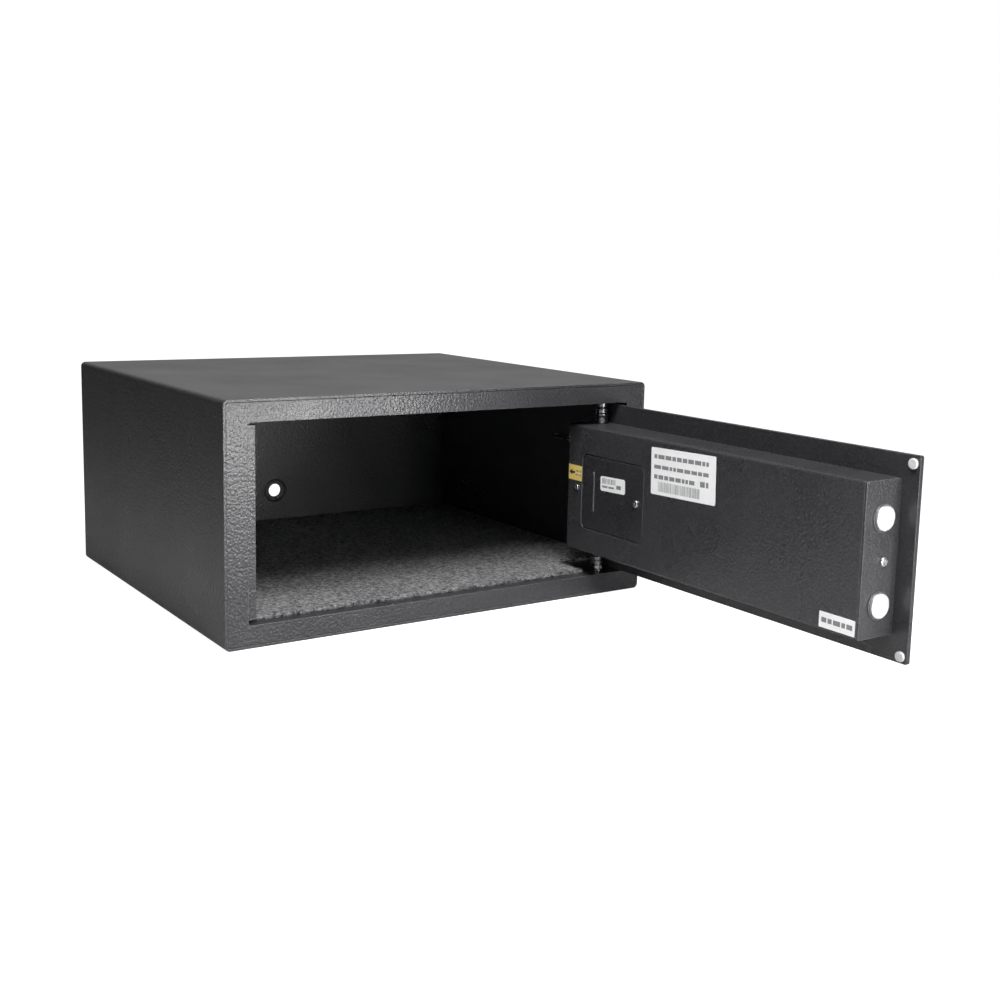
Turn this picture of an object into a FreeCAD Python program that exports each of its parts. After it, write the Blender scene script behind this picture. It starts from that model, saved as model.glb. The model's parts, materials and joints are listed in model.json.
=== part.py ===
import FreeCAD, Part
import math
import os

# Hotel room safe with a hinged door that carries a motor lock.
# Row frame: origin at the centre of the underside, +X to the right seen from
# the front, +Y to the back, +Z up. Millimetres. The door is drawn closed and
# then swung open by OPEN_ANGLE, which is its stored pose.

V = FreeCAD.Vector
X_AXIS = V(1, 0, 0)
Y_AXIS = V(0, 1, 0)
Z_AXIS = V(0, 0, 1)

# Driving dimensions of the body
WIDTH = 420.0
DEPTH = 370.0
HEIGHT = 200.0
SHELL = 2.2            # wrapper sheet
BEND = 4.5             # outside bend radius of the wrapper
RAIL = 18.6            # height of the front frame above and below the opening
RAIL_SIDE = 20.1       # width of the front frame beside the opening
FACE_T = 2.5           # front frame sheet
FACE_SETBACK = 0.4     # front frame behind the wrapper's front edge
SEAM = 0.25            # weld seam between wrapper and front frame
JAMB_R = 2.5           # corner radius of the opening
RETURN_DEPTH = 25.0    # how far the opening's return flange reaches inwards
RETURN_T = 2.0
BACK_INSET = 4.5       # back panel's rear face in front of the wrapper's rear edge
BACK_T = 2.0
DECK_T = 1.5
CARPET_T = 4.5
CARPET_SETBACK = 10.0  # carpet's front edge behind the door face
NOTCH_X = 151.5        # left end of the carpet's cut-out around the lower hinge
NOTCH_DEPTH = 53.5     # how far that cut-out reaches back from the front
ANCHOR_R = 7.0
ANCHOR_X = -5.0
ANCHOR_Z = 54.0
DISH_R = 13.0
DISH_DEPTH = 2.0
DISH_SLOPE = 2.5       # radial width of the dish's sloping side
STOP_Y = 6.0           # front face of the latch stop strip behind the door face
STOP_WIDTH = 10.7
CLIP_START = 110.0     # wall clip behind the front of the body
CLIP_LENGTH = 24.0
CLIP_Z = (130.5, 134.0)
CLIP_WIRE_R = 0.7

# Driving dimensions of the door and its hinge
HINGE_S0 = 39.4        # hinge axis from the body's right side
HINGE_N = 14.1         # hinge axis behind the door's outer face
OPEN_ANGLE = 90.0
DOOR_T = 3.5
DOOR_REACH = 359.3     # hinge axis to the free edge
DOOR_HEEL = 12.2       # hinge axis to the hinge edge
DOOR_Z0 = 22.1
DOOR_Z1 = 179.1
PIN_R = 3.5
RING_R = 5.9           # collars and washers on the hinge pins
PIN_FIT = 0.05         # radial running clearance on the pins
BUSH_R = 4.7           # hinge bush outside radius
BUSH_HEAD_R = 5.1
LOWER_HEAD = 2.0       # height of the lower bush's head
UPPER_HEAD = 4.8
BUSH_Z = (5.0, 194.0)  # far ends of the two bushes
BLOCK_HALF = 13.0      # half width of the blocks that hold the bushes
BLOCK_N = (5.0, 24.0)
WASHER_Z = ((20.7, 24.9), (168.2, 170.6), (170.9, 175.3))
LOWER_COLLAR_Z = (25.1, 29.4, 33.2)
UPPER_COLLAR_TOP = 168.0
SPACER_R = 4.6
SET_SCREW_R = 2.6
SET_SCREW_FACE = 5.7   # face of a set screw from the hinge axis
SET_SCREW_SOCKET = 1.3
SET_SCREW_Z = (29.2, 164.0)
SET_SCREW_TURN = (52.0, -128.0)  # way they face, in degrees about the axis, door open
PIN_LOWER_Z = (7.0, 52.0)
PIN_UPPER_Z = (150.0, 192.0)
BUMPER_R = 4.0
BUMPER_T = 2.2
BUMPER_INSET = 5.9     # bumper centre from the door's free edge
BUMPER_Z = (27.4, 172.7)

# Lock case on the door's inner face
CASE_HEEL = 14.5
CASE_REACH = 343.8
CASE_N = 41.2
CASE_Z0 = 42.3
CASE_Z1 = 160.8
CASE_T = 1.5
END_T = 2.0
END_GAP = 0.2
CASE_R = 2.0
CASE_SCREW = (0.5, 102.0)       # along the door and up
END_SCREW = (18.9, 99.5)        # through the door and up
M3_R = 1.6
M4_R = 1.9
RESET_N = 22.0
RESET_Z = 116.0
RESET_R = 2.8

# Locking bolts and their drive
BOLT_R = 9.75
BOLT_FIT = 0.07
BOLT_N = 21.6
BOLT_Z = (66.7, 132.6)
BOLT_PROUD = 3.3       # retracted bolt tips stand this far out of the case
BOLT_TRAVEL = 18.0
BOLT_BUSH_R = 10.8
BOLT_BUSH_S = 338.0    # inner end of the bolt bushes
BOLT_FLANGE_R = 11.35
BOLT_FLANGE_T = 0.9
CARRIAGE_S0 = 210.0
CARRIAGE_S1 = 300.0
CARRIAGE_N = (14.0, 16.0)
CARRIAGE_Z = (55.0, 147.0)
CARRIAGE_BAR = 12.0    # bar that the bolts are fixed to, along the door
RACK_N = (16.0, 22.0)
GUIDE_POSTS = ((257.0, 64.0), (257.0, 139.0))
GUIDE_R = 2.75
GUIDE_COLLAR_R = 5.0
MODULE = 1.0
PINION_TEETH = 16
PRESSURE_ANGLE = math.radians(20.0)
ADDENDUM = 0.9
DEDENDUM = 1.25
BACKLASH = 0.25
PINION_S = 250.0
RACK_Z = 101.0         # pitch line of the rack
MOTOR_N = (24.0, 38.2)
MOTOR_R = 7.1
MOTOR_AXIS_N = 31.0
SHAFT_R = 2.0
BOARD_S = (110.0, 168.0)
BOARD_Z = (101.0, 153.0)
BOARD_N = (12.0, 13.6)

# Battery compartment
COVER_S = (8.0, 97.5)
COVER_Z = (65.2, 135.1)
COVER_GAP = 0.7
COVER_R = 6.0
COVER_EDGE = 0.8       # rounding of the lid's outer edge
HOLE_EDGE = 0.6        # rounding of the case around the lid
COVER_SCREW = (87.1, 100.6)
RIB_S = (23.2, 26.8)
RIB_Z = (82.7, 119.9)
RIB_RISE = 0.9
HOLDER_S = (14.5, 91.5)
HOLDER_Z = (67.9, 132.4)
HOLDER_N0 = 14.0
HOLDER_FEET = ((24.5, 81.5), (75.0, 125.0))
CELL_R = 7.2
CELL_LENGTH = 50.5
CELL_PITCH = 15.0
CELL_S0 = 24.5
CELL_N = 23.0
CELL_MID_Z = 100.15
CONTACT_S0 = 17.5
CONTACT_T = 0.6

# Control panel on the door's outer face
BEZEL_S = (100.0, 290.0)
BEZEL_Z = (56.0, 150.0)
BEZEL_N = -9.0
BEZEL_T = 2.0
BEZEL_SCREW_S = (108.0, 282.0)
BEZEL_SCREW_Z = (63.0, 143.0)
KEY_S = (272.0, 253.0, 234.0, 215.0)
KEY_Z = (123.0, 104.0, 85.0)
KEY_NAMES = (("1", "2", "3", "clear"), ("4", "5", "6", "0"), ("7", "8", "9", "lock"))
KEY_SIZE = (14.0, 11.5)
KEY_GAP = 0.35
KEY_TOP = -10.2
CYLINDER_S = 150.0
CYLINDER_Z = 80.0
CYLINDER_R = 9.0
ROTOR_R = 6.0
ROTOR_END = 16.0       # inner end of the key plug
COVER_PIVOT_RISE = 17.0  # key cap's pivot above the key cylinder
DISPLAY_S = (116.0, 184.0)
DISPLAY_Z = (108.0, 137.0)
LED_S = 194.0
LED_Z = 123.0
LED_R = 1.5

FRONT = -DEPTH / 2
BACK = DEPTH / 2
LEFT = -WIDTH / 2
RIGHT = WIDTH / 2
HINGE_X = RIGHT - HINGE_S0
HINGE_Y = FRONT + HINGE_N
OPENING_X = (LEFT + RAIL_SIDE, RIGHT - RAIL_SIDE)
OPENING_Z = (RAIL, HEIGHT - RAIL)
PANEL_Y = BACK - BACK_INSET - BACK_T
PINION_PITCH_R = MODULE * PINION_TEETH / 2
PINION_Z = RACK_Z + PINION_PITCH_R
HOLDER_N = (HOLDER_N0, CASE_N - CASE_T)
CELL_ZS = [CELL_MID_Z + (i - 1.5) * CELL_PITCH for i in range(4)]
CELL_S1 = CELL_S0 + CELL_LENGTH
COVER_PIVOT_Z = CYLINDER_Z + COVER_PIVOT_RISE
BEZEL_SCREWS = [(s, z) for s in BEZEL_SCREW_S for z in BEZEL_SCREW_Z]


def save(name, shape):
    shape.exportStep("parts/" + name + ".step")


def save_door(name, shape):
    """Save a piece that is drawn on the closed door, swung open with the door."""
    swung = shape.copy()
    swung.rotate(V(HINGE_X, HINGE_Y, 0), Z_AXIS, OPEN_ANGLE)
    save(name, swung)


def block(x, y, z):
    """Box between pairs of limits."""
    return Part.makeBox(x[1] - x[0], y[1] - y[0], z[1] - z[0], V(x[0], y[0], z[0]))


def edges_along(shape, axis):
    found = []
    for edge in shape.Edges:
        straight = isinstance(edge.Curve, Part.Line)
        if straight and abs(edge.tangentAt(edge.FirstParameter).dot(axis)) > 0.999:
            found.append(edge)
    return found


def rounded(x, y, z, axis, radius):
    """Box with the four edges that run along one axis rounded."""
    plain = block(x, y, z)
    return plain.makeFillet(radius, edges_along(plain, axis))


def grow(limits, amount):
    return (limits[0] - amount, limits[1] + amount)


def span(s):
    """X limits on the closed door of a distance range from the hinge axis."""
    return (HINGE_X - s[1], HINGE_X - s[0])


def depth(n):
    """Y limits of a depth range behind the door's outer face."""
    return (FRONT + n[0], FRONT + n[1])


def door_block(s, n, z):
    return block(span(s), depth(n), z)


def door_rounded(s, n, z, radius):
    """Door block with the four edges that run through the door rounded."""
    return rounded(span(s), depth(n), z, Y_AXIS, radius)


def door_point(s, n, z):
    return V(HINGE_X - s, FRONT + n, z)


def pin_through(radius, s, n, z):
    """Cylinder through the door, over a depth range."""
    return Part.makeCylinder(radius, n[1] - n[0], door_point(s, n[0], z), Y_AXIS)


def pin_upright(radius, z, s=0.0, n=HINGE_N):
    """Upright cylinder, on the hinge axis unless placed elsewhere."""
    return Part.makeCylinder(radius, z[1] - z[0], door_point(s, n, z[0]), Z_AXIS)


def pin_along(radius, s, n, z):
    """Cylinder that points at the door's free edge, over a distance range."""
    return Part.makeCylinder(radius, s[1] - s[0], door_point(s[0], n, z), -X_AXIS)


def ring(outer, inner, z, chamfer=0.4):
    """Collar on the hinge axis with broken edges."""
    body = pin_upright(outer, z)
    rims = [edge for edge in body.Edges if isinstance(edge.Curve, Part.Circle)]
    return body.makeChamfer(chamfer, rims).cut(pin_upright(inner, grow(z, 1.0)))


def pan_screw(head_r, head_h, shank_r, length, seat, way):
    """Pan head screw with a cross recess; its seat is under the head."""
    head = Part.makeCylinder(head_r, head_h, seat, way)
    top_edge = [edge for edge in head.Edges if edge.CenterOfMass.sub(seat).dot(way) > head_h / 2]
    rims = [edge for edge in top_edge if isinstance(edge.Curve, Part.Circle)]
    head = head.makeFillet(head_h * 0.45, rims)
    side = way.cross(Z_AXIS)
    middle = seat + way * (head_h - 0.3)
    for first, second in ((side, Z_AXIS), (Z_AXIS, side)):
        corner = middle - first * head_r * 0.5 - second * head_r * 0.11
        wire = Part.makePolygon([
            corner,
            corner + first * head_r,
            corner + first * head_r + second * head_r * 0.22,
            corner + second * head_r * 0.22,
            corner,
        ])
        head = head.cut(Part.Face(wire).extrude(way * head_h))
    return head.fuse(Part.makeCylinder(shank_r, length, seat, -way)).removeSplitter()


# Body -----------------------------------------------------------------------

def body_wrap():
    """One sheet bent into a square tube: top, sides and bottom."""
    outer = rounded((LEFT, RIGHT), (FRONT, BACK), (0, HEIGHT), Y_AXIS, BEND)
    inner = rounded(
        (LEFT + SHELL, RIGHT - SHELL), (FRONT - 1, BACK + 1), (SHELL, HEIGHT - SHELL), Y_AXIS, BEND - SHELL
    )
    return outer.cut(inner)


def back_panel():
    """Recessed pan with a dished anchor hole."""
    inside = SHELL + 0.05
    x = (LEFT + inside, RIGHT - inside)
    z = (inside, HEIGHT - inside)
    pan = rounded(x, (PANEL_Y, BACK - 2.0), z, Y_AXIS, BEND - SHELL)
    hollow = rounded(grow(x, -BACK_T), (PANEL_Y + BACK_T, BACK), grow(z, -BACK_T), Y_AXIS, 1.0)
    centre = V(ANCHOR_X, PANEL_Y, ANCHOR_Z)
    pan = pan.cut(hollow).cut(Part.makeCylinder(DISH_R, BACK_T, centre, Y_AXIS))
    floor_r = DISH_R - DISH_SLOPE
    outline = (
        (DISH_R, 0), (DISH_R, BACK_T), (floor_r, BACK_T + DISH_DEPTH), (ANCHOR_R, BACK_T + DISH_DEPTH),
        (ANCHOR_R, DISH_DEPTH), (floor_r, DISH_DEPTH), (DISH_R, 0),
    )
    profile = Part.makePolygon([centre + V(radius, y, 0) for radius, y in outline])
    dish = Part.Face(profile).revolve(centre, Y_AXIS, 360)
    return pan.fuse(dish).removeSplitter()


def front_frame():
    """Face sheet with the door opening and its folded return flange."""
    edge = SHELL + SEAM
    face_y = (FRONT + FACE_SETBACK, FRONT + FACE_SETBACK + FACE_T)
    face = rounded((LEFT + edge, RIGHT - edge), face_y, (edge, HEIGHT - edge), Y_AXIS, BEND - SHELL)
    sleeve = rounded(
        grow(OPENING_X, RETURN_T), (face_y[0], FRONT + RETURN_DEPTH), grow(OPENING_Z, RETURN_T), Y_AXIS,
        JAMB_R + RETURN_T
    )
    opening = rounded(OPENING_X, (FRONT - 1, FRONT + RETURN_DEPTH + 1), OPENING_Z, Y_AXIS, JAMB_R)
    latch_gap = block((LEFT + edge, OPENING_X[0]), (FRONT + STOP_Y, BACK), OPENING_Z)
    frame = face.fuse(sleeve).cut(opening).cut(latch_gap)
    for z in (grow((RAIL - RETURN_T, RAIL), 1.0), grow((HEIGHT - RAIL, HEIGHT - RAIL + RETURN_T), 1.0)):
        frame = frame.cut(pin_upright(BUSH_R, z))
    return frame.removeSplitter()


def latch_stop_strip():
    """Angle behind the latch jamb that the door's bumpers close against."""
    x = (OPENING_X[0] - RETURN_T, OPENING_X[0] - RETURN_T + STOP_WIDTH)
    z = grow(OPENING_Z, -2.6)
    bar = block(x, (FRONT + STOP_Y, FRONT + STOP_Y + 2.0), z)
    lip = block((x[1] - 1.8, x[1]), (FRONT + STOP_Y, FRONT + STOP_Y + 5.5), z)
    return bar.fuse(lip).removeSplitter()


def floor_deck():
    """Raised floor tray with folded legs along both sides and the back."""
    x = (LEFT + SHELL + 0.1, RIGHT - SHELL - 0.1)
    y = (FRONT + RETURN_DEPTH + 0.2, PANEL_Y - 0.1)
    z = (BEND + 0.2, RAIL)
    tray = block(x, y, z)
    inside = block(grow(x, -DECK_T), (y[0] - 1, y[1] - DECK_T), (z[0] - 1, z[1] - DECK_T))
    return tray.cut(inside)


def carpet_mat():
    """Felt mat on the floor, cut out around the lower hinge."""
    x = (LEFT + SHELL + 0.6, RIGHT - SHELL - 0.6)
    y = (FRONT + CARPET_SETBACK, PANEL_Y - 0.4)
    z = (RAIL, RAIL + CARPET_T)
    mat = rounded(x, y, z, Z_AXIS, 2.0)
    notch = block((NOTCH_X, RIGHT), (FRONT, FRONT + NOTCH_DEPTH), grow(z, 1.0))
    latch = block((LEFT, OPENING_X[0] + STOP_WIDTH), (FRONT, FRONT + RETURN_DEPTH + 1.0), grow(z, 1.0))
    return mat.cut(notch).cut(latch)


def hinge_blocks():
    """Welded blocks behind the top and bottom rails that hold the hinge bushes."""
    x = grow((HINGE_X, HINGE_X), BLOCK_HALF)
    y = depth(BLOCK_N)
    blocks = []
    for z in ((SHELL, RAIL - RETURN_T), (HEIGHT - RAIL + RETURN_T, HEIGHT - SHELL)):
        blocks.append(block(x, y, z).cut(pin_upright(BUSH_R, grow(z, 1.0))))
    return Part.makeCompound(blocks)


def hinge_bushes():
    """Headed bushes that the door's pins turn in."""
    bore = PIN_R + PIN_FIT
    top = HEIGHT - RAIL
    bushes = []
    lower = ((BUSH_Z[0], RAIL), (RAIL, RAIL + LOWER_HEAD))
    upper = ((top, BUSH_Z[1]), (top - UPPER_HEAD, top))
    for sleeve, head in (lower, upper):
        bush = pin_upright(BUSH_R, sleeve).cut(pin_upright(bore, grow(sleeve, 1.0)))
        bushes.append(bush.fuse(ring(BUSH_HEAD_R, bore, head)).removeSplitter())
    return Part.makeCompound(bushes)


def hinge_washers():
    """Loose washers between the bushes and the collars."""
    return Part.makeCompound([ring(RING_R, PIN_R + PIN_FIT, z) for z in WASHER_Z])


def wall_clip():
    """Two-pronged wire clip on the right wall."""
    wall = RIGHT - SHELL
    y = FRONT + CLIP_START
    clip = block((wall - 1.5, wall), (y - 4.0, y + 2.0), grow(CLIP_Z, 2.0))
    for z in CLIP_Z:
        start = V(wall - 2.0, y, z)
        clip = clip.fuse(Part.makeCylinder(CLIP_WIRE_R, CLIP_LENGTH, start, Y_AXIS))
        clip = clip.fuse(Part.makeSphere(CLIP_WIRE_R + 0.25, start + Y_AXIS * CLIP_LENGTH))
    return clip.removeSplitter()


# Door -----------------------------------------------------------------------

def door_plate():
    plate = door_rounded((-DOOR_HEEL, DOOR_REACH), (0, DOOR_T), (DOOR_Z0, DOOR_Z1), 1.5)
    through = (-1.0, DOOR_T + 1.0)
    plate = plate.cut(pin_through(CYLINDER_R + 0.1, CYLINDER_S, through, CYLINDER_Z))
    plate = plate.cut(door_rounded((180.0, 196.0), through, (112.0, 120.0), 3.0))
    for s, z in BEZEL_SCREWS:
        plate = plate.cut(pin_through(1.7, s, through, z))
    return plate


def lock_case_cover():
    """Folded cover over the lock works, open at the door plate and the latch end."""
    outer = door_block((-CASE_HEEL, CASE_REACH - END_T - END_GAP), (DOOR_T, CASE_N), (CASE_Z0, CASE_Z1))
    bends = []
    for edge in outer.Edges:
        middle = edge.CenterOfMass
        at_face = abs(middle.y - (FRONT + CASE_N)) < 0.01
        at_heel = abs(middle.x - (HINGE_X + CASE_HEEL)) < 0.01
        at_end = abs(middle.x - (HINGE_X - CASE_REACH + END_T + END_GAP)) < 0.01
        at_plate = abs(middle.y - (FRONT + DOOR_T)) < 0.01
        if (at_face or at_heel) and not at_end and not at_plate:
            bends.append(edge)
    outer = outer.makeFillet(CASE_R, bends)
    inner = door_block(
        (-CASE_HEEL + CASE_T, CASE_REACH), (0, CASE_N - CASE_T), (CASE_Z0 + CASE_T, CASE_Z1 - CASE_T)
    )
    through = (CASE_N - 3, CASE_N + 1)
    cover = outer.cut(inner).cut(door_rounded(COVER_S, through, COVER_Z, COVER_R))
    rim = []
    for edge in cover.Edges:
        middle = edge.CenterOfMass
        s = HINGE_X - middle.x
        along = COVER_S[0] - 0.1 < s < COVER_S[1] + 0.1
        upright = COVER_Z[0] - 0.1 < middle.z < COVER_Z[1] + 0.1
        if along and upright and abs(middle.y - (FRONT + CASE_N)) < 0.01:
            rim.append(edge)
    cover = cover.makeFillet(HOLE_EDGE, rim)
    cover = cover.cut(pin_upright(PIN_R, (0, HEIGHT)))
    cover = cover.cut(pin_along(RESET_R + 0.4, (-CASE_HEEL - 1, -CASE_HEEL + 3), RESET_N, RESET_Z))
    return cover.cut(pin_through(M3_R, CASE_SCREW[0], through, CASE_SCREW[1]))


def latch_end_plate():
    """End plate of the lock case that the bolts slide out of."""
    s = (CASE_REACH - END_T, CASE_REACH)
    plate = rounded(span(s), depth((DOOR_T, CASE_N)), (CASE_Z0, CASE_Z1), X_AXIS, 1.5)
    for z in BOLT_Z:
        plate = plate.cut(pin_along(BOLT_BUSH_R, grow(s, 1.0), BOLT_N, z))
    return plate.cut(pin_along(M4_R, grow(s, 1.0), *END_SCREW))


def case_mounts():
    """Post and block on the door plate that the case screws thread into."""
    s, z = CASE_SCREW
    post = pin_through(3.5, s, (DOOR_T, CASE_N - CASE_T), z)
    post = post.cut(pin_through(M3_R, s, (30.0, CASE_N), z))
    n, z = END_SCREW
    end = CASE_REACH - END_T
    foot = door_block((end - 11.8, end), (DOOR_T, n + 6.1), grow((z, z), 6.2))
    foot = foot.cut(pin_along(M4_R, (end - 8.8, end + 1.0), n, z))
    return Part.makeCompound([post, foot])


def bolt_bushes():
    bushes = []
    for z in BOLT_Z:
        bush = pin_along(BOLT_BUSH_R, (BOLT_BUSH_S, CASE_REACH), BOLT_N, z)
        bush = bush.fuse(pin_along(BOLT_FLANGE_R, (CASE_REACH, CASE_REACH + BOLT_FLANGE_T), BOLT_N, z))
        bush = bush.cut(pin_along(BOLT_R + BOLT_FIT, (BOLT_BUSH_S - 1, CASE_REACH + 2), BOLT_N, z))
        bushes.append(bush.removeSplitter())
    return Part.makeCompound(bushes)


def locking_bolt(z):
    """Round bolt with a chamfered tip."""
    tip = CASE_REACH + BOLT_PROUD
    bolt = pin_along(BOLT_R, (CARRIAGE_S1, tip), BOLT_N, z)
    rims = []
    for edge in bolt.Edges:
        if isinstance(edge.Curve, Part.Circle) and abs(edge.CenterOfMass.x - (HINGE_X - tip)) < 0.01:
            rims.append(edge)
    return bolt.makeFillet(1.1, rims)


def rack_teeth():
    """Straight-flanked teeth that point up, with a tooth space under the pinion."""
    pitch = math.pi * MODULE
    half = (pitch / 2 - BACKLASH) / 2
    slope = math.tan(PRESSURE_ANGLE)
    root = DEDENDUM
    teeth = []
    for i in range(-4, 11):
        middle = PINION_S - (i + 0.5) * pitch
        outline = [
            V(HINGE_X - middle - half - root * slope, 0, RACK_Z - root),
            V(HINGE_X - middle - half + ADDENDUM * slope, 0, RACK_Z + ADDENDUM),
            V(HINGE_X - middle + half - ADDENDUM * slope, 0, RACK_Z + ADDENDUM),
            V(HINGE_X - middle + half + root * slope, 0, RACK_Z - root),
        ]
        face = Part.Face(Part.makePolygon(outline + [outline[0]]))
        face.translate(V(0, FRONT + RACK_N[0], 0))
        teeth.append(face.extrude(V(0, RACK_N[1] - RACK_N[0], 0)))
    return teeth


def bolt_carriage():
    """Slotted plate with a bar for the bolts and a rack for the pinion."""
    plate = door_block((CARRIAGE_S0, CARRIAGE_S1), CARRIAGE_N, CARRIAGE_Z)
    slot = GUIDE_R + 0.35
    for s, z in GUIDE_POSTS:
        along = (s - BOLT_TRAVEL - slot - 0.5, s + slot + 0.5)
        plate = plate.cut(door_rounded(along, grow(CARRIAGE_N, 1.0), grow((z, z), slot), slot - 0.05))
    bar_s = CARRIAGE_S1 - CARRIAGE_BAR
    bar = door_block((bar_s, CARRIAGE_S1), (CARRIAGE_N[1], 30.0), grow(CARRIAGE_Z, -3.0))
    rail = door_block((CARRIAGE_S0 + 2.0, bar_s + 1.0), RACK_N, (RACK_Z - 11.0, RACK_Z - DEDENDUM))
    return plate.fuse([bar, rail] + rack_teeth()).removeSplitter()


def guide_posts():
    posts = []
    for s, z in GUIDE_POSTS:
        neck = grow(CARRIAGE_N, 0.35)
        post = pin_through(GUIDE_COLLAR_R, s, (DOOR_T, neck[0]), z)
        post = post.fuse(pin_through(GUIDE_R, s, neck, z))
        post = post.fuse(pin_through(GUIDE_COLLAR_R, s, (neck[1], neck[1] + 2.2), z))
        posts.append(post.removeSplitter())
    return Part.makeCompound(posts)


def involute_tooth_points():
    """One pinion tooth's outline from root to root, as (radius, angle) pairs."""
    base_r = PINION_PITCH_R * math.cos(PRESSURE_ANGLE)
    root_r = PINION_PITCH_R - DEDENDUM
    tip_r = PINION_PITCH_R + ADDENDUM
    half = (math.pi * MODULE / 2 - BACKLASH) / 2 / PINION_PITCH_R
    roll_pitch = math.tan(PRESSURE_ANGLE) - PRESSURE_ANGLE
    flank = [(root_r, half + roll_pitch)]
    steps = 6
    for k in range(steps + 1):
        radius = base_r + (tip_r - base_r) * k / steps
        pressure = math.acos(min(1.0, base_r / radius))
        flank.append((radius, half + roll_pitch - (math.tan(pressure) - pressure)))
    left = [(radius, -angle) for radius, angle in flank]
    right = [(radius, angle) for radius, angle in reversed(flank)]
    return left + right


def drive_pinion():
    """Spur pinion and its shaft, with a tooth pointing down into the rack."""
    points = []
    for i in range(PINION_TEETH):
        middle = -math.pi / 2 + i * 2 * math.pi / PINION_TEETH
        for radius, angle in involute_tooth_points():
            x = HINGE_X - PINION_S + radius * math.cos(middle + angle)
            z = PINION_Z + radius * math.sin(middle + angle)
            points.append(V(x, FRONT + 16.6, z))
    gear = Part.Face(Part.makePolygon(points + [points[0]])).extrude(V(0, 4.8, 0))
    shaft = pin_through(SHAFT_R, PINION_S, (20.0, 30.0), PINION_Z)
    return gear.fuse(shaft).removeSplitter()


def gear_motor():
    """Right-angle gearbox with its small motor."""
    side = PINION_S - 13.0
    box = door_rounded((side, PINION_S + 13.0), MOTOR_N, grow((PINION_Z, PINION_Z), 13.0), 2.0)
    can = pin_along(MOTOR_R, (side - 33.0, side), MOTOR_AXIS_N, PINION_Z)
    cap = pin_along(3.0, (side - 35.5, side - 33.0), MOTOR_AXIS_N, PINION_Z)
    motor = box.fuse([can, cap])
    bore = pin_through(SHAFT_R + PIN_FIT, PINION_S, (MOTOR_N[0] - 1.0, MOTOR_AXIS_N), PINION_Z)
    return motor.cut(bore).removeSplitter()


def motor_bracket():
    s = grow((PINION_S, PINION_S), 22.0)
    z = grow((PINION_Z, PINION_Z), 19.0)
    plate = door_rounded(s, (MOTOR_N[1], CASE_N - CASE_T), z, 4.0)
    for hole_s in grow(s, -4.0):
        for hole_z in grow(z, -4.0):
            plate = plate.cut(pin_through(M3_R, hole_s, (MOTOR_N[1] - 0.2, CASE_N), hole_z))
    return plate


def micro_switches():
    """Snap switches for the retracted bolts and the reset button."""
    carriage = door_block((193.0, 208.0), (DOOR_T, 13.0), (124.0, 144.0))
    carriage = carriage.fuse(pin_along(1.2, (207.0, 209.4), 10.0, 134.0))
    reset = door_block((3.0, 11.0), (DOOR_T, RESET_N + 4.0), grow((RESET_Z, RESET_Z), 7.0))
    return Part.makeCompound([carriage, reset])


def circuit_board():
    """Control board with its chips, relay, buzzer and connectors."""
    board = door_rounded(BOARD_S, BOARD_N, BOARD_Z, 1.5)
    face = BOARD_N[1]
    parts = [
        door_block((118.0, 130.0), (face, face + 2.0), (118.0, 130.0)),
        door_block((136.0, 152.0), (face, face + 13.0), (134.0, 147.0)),
        door_block((140.0, 162.0), (face, face + 6.5), (105.0, 111.0)),
        door_block((134.0, 144.0), (face, face + 1.6), (118.0, 123.0)),
        pin_through(6.0, 156.0, (face, face + 7.0), 122.0),
        pin_through(3.2, 122.0, (face, face + 11.0), 139.0),
    ]
    return board.fuse(parts)


def board_standoffs():
    posts = []
    for s in grow(BOARD_S, -4.5):
        for z in grow(BOARD_Z, -4.5):
            posts.append(pin_through(2.5, s, (DOOR_T, BOARD_N[0]), z))
    return Part.makeCompound(posts)


def battery_holder():
    """Tray for four AA cells with a boss for the cover screw."""
    tray = door_rounded(HOLDER_S, HOLDER_N, HOLDER_Z, 3.0)
    hollow = door_rounded(grow(HOLDER_S, -1.8), (HOLDER_N[0] + 1.5, CASE_N), grow(HOLDER_Z, -1.8), 1.5)
    s, z = COVER_SCREW
    tray = tray.cut(hollow).fuse(pin_through(3.2, s, HOLDER_N, z))
    tray = tray.cut(pin_through(M3_R, s, (25.0, CASE_N), z))
    feet = []
    for foot_s in HOLDER_FEET[0]:
        for foot_z in HOLDER_FEET[1]:
            feet.append(pin_through(4.0, foot_s, (DOOR_T, HOLDER_N0), foot_z))
    return tray.fuse(feet).removeSplitter()


def batteries():
    """Four AA cells, alternately turned."""
    cells = []
    for i, z in enumerate(CELL_ZS):
        nub_first = i % 2 == 0
        body = (CELL_S0 + 1.2, CELL_S1) if nub_first else (CELL_S0, CELL_S1 - 1.2)
        nub = (CELL_S0, body[0]) if nub_first else (body[1], CELL_S1)
        cell = pin_along(CELL_R, body, CELL_N, z).fuse(pin_along(2.6, nub, CELL_N, z))
        cells.append(cell.removeSplitter())
    return Part.makeCompound(cells)


def coil_spring(length):
    """Battery contact spring that stands on the origin and points up."""
    wire_r = 0.35
    coil_r = 3.2
    path = Part.makeHelix(1.5, length - 2 * wire_r - 0.1, coil_r)
    section = Part.Wire(Part.makeCircle(wire_r, V(coil_r, 0, 0), Y_AXIS))
    coil = Part.Wire(path.Edges).makePipeShell([section], True, True)
    coil.translate(V(0, 0, wire_r + 0.05))
    return coil


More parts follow.
